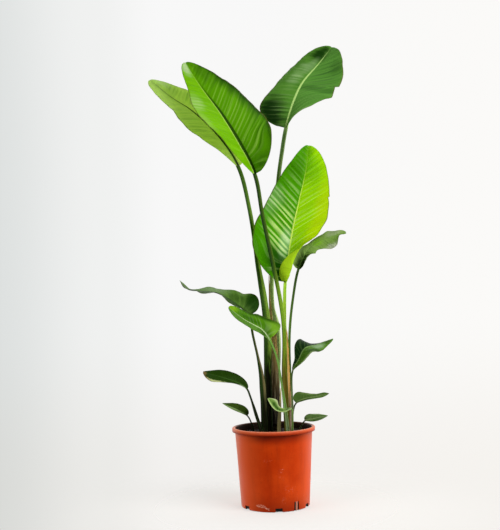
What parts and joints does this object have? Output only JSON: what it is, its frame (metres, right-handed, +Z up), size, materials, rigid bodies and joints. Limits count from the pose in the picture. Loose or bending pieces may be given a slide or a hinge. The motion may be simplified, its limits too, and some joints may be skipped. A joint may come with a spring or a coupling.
{
  "type": "potted bird of paradise plant",
  "caption": "Young bird of paradise plant with tall paddle leaves on long stalks, growing in a round tapered plastic nursery pot filled with soil.",
  "frame": {"origin": "centre of the pot's flat base, on the surface it stands on", "axes": "+Z up along the pot's axis, -Y towards the side the plant shows in the picture, +X to that side's right"},
  "size_m": [0.603, 0.3195, 1.3976],
  "materials": {
    "leaf_bright_green": "young leaf, satin, slightly see-through",
    "leaf_mid_green": "leaf, satin",
    "leaf_dark_green": "old leaf, satin to glossy",
    "dry_sheath": "dry, papery, matt",
    "soil": "dark bark and peat mix, matt",
    "pot_plastic": "moulded terracotta coloured plastic, satin"
  },
  "bodies": {
    "root": {"leaf_top_left_back": "leaf_mid_green", "leaf_top_left_front": "leaf_mid_green", "leaf_top_right": "leaf_dark_green", "leaf_centre": "leaf_bright_green", "leaf_right_rolled": "leaf_dark_green", "leaf_left_waved": "leaf_dark_green", "leaf_left_boat": "leaf_mid_green", "leaf_right_dark": "leaf_dark_green", "leaf_low_left": "leaf_dark_green", "leaf_low_left_small": "leaf_dark_green", "leaf_low_right": "leaf_dark_green", "leaf_low_right_small": "leaf_dark_green", "leaf_low_front": "leaf_mid_green", "shoot_spear": "leaf_mid_green", "dry_shoot": "dry_sheath", "dry_sheath_right": "dry_sheath", "dry_sheath_left": "dry_sheath", "soil": "soil", "pot": "pot_plastic"}
  },
  "joints": []
}
